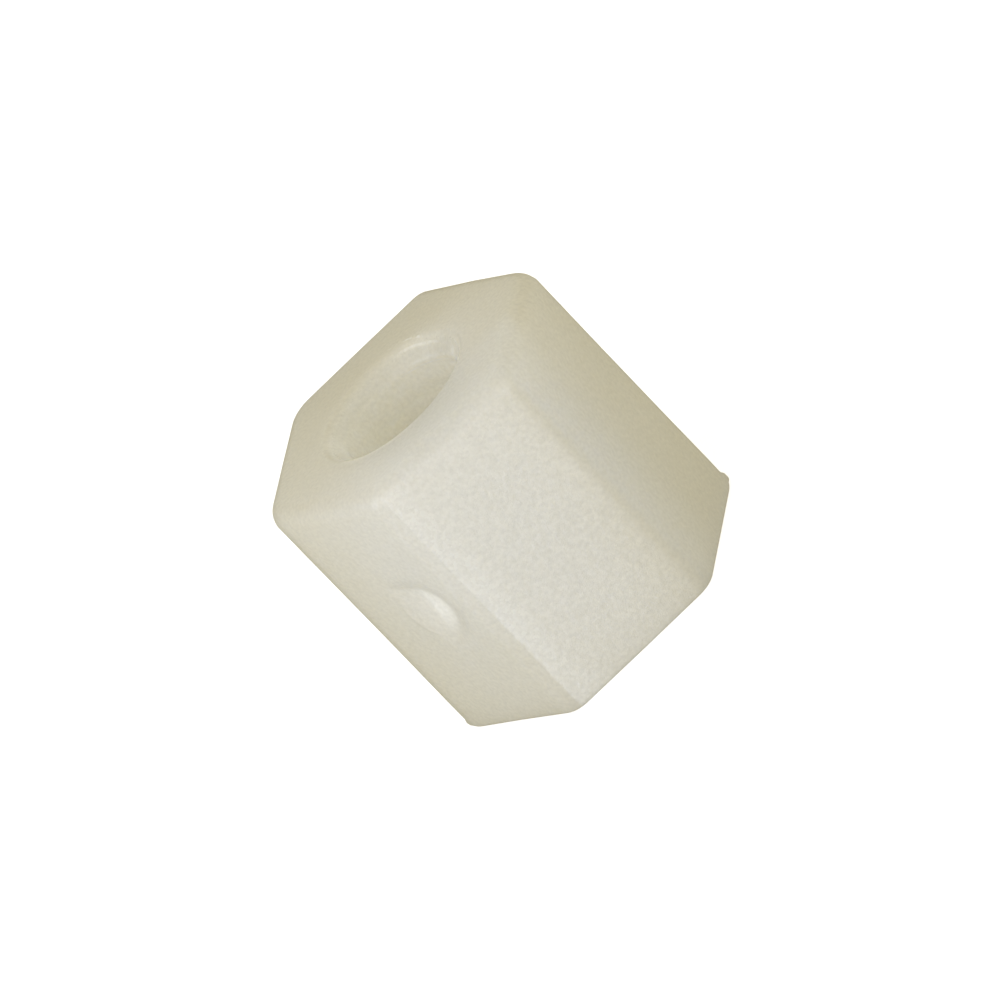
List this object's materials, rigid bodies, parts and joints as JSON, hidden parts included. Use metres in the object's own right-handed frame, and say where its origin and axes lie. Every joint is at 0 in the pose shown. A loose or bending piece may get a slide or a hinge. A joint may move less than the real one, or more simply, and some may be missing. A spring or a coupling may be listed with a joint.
{
  "type": "hex standoff",
  "caption": "Short hexagonal nylon standoff, threaded right through, that spaces a board or panel from its mounting face between two screws.",
  "frame": {"origin": "centre of the lower end face, on the axis of the threaded bore", "axes": "+Z along the bore, out of the end with the rounded edge; +Y square to a flat; +X through a long edge on the mould's parting line"},
  "size_m": [0.0068, 0.006, 0.006],
  "materials": {
    "nylon": "natural nylon 6/6 as moulded: ivory, waxy and slightly translucent, satin flats with one finely textured flat"
  },
  "bodies": {
    "root": {"standoff": "nylon"}
  },
  "joints": []
}
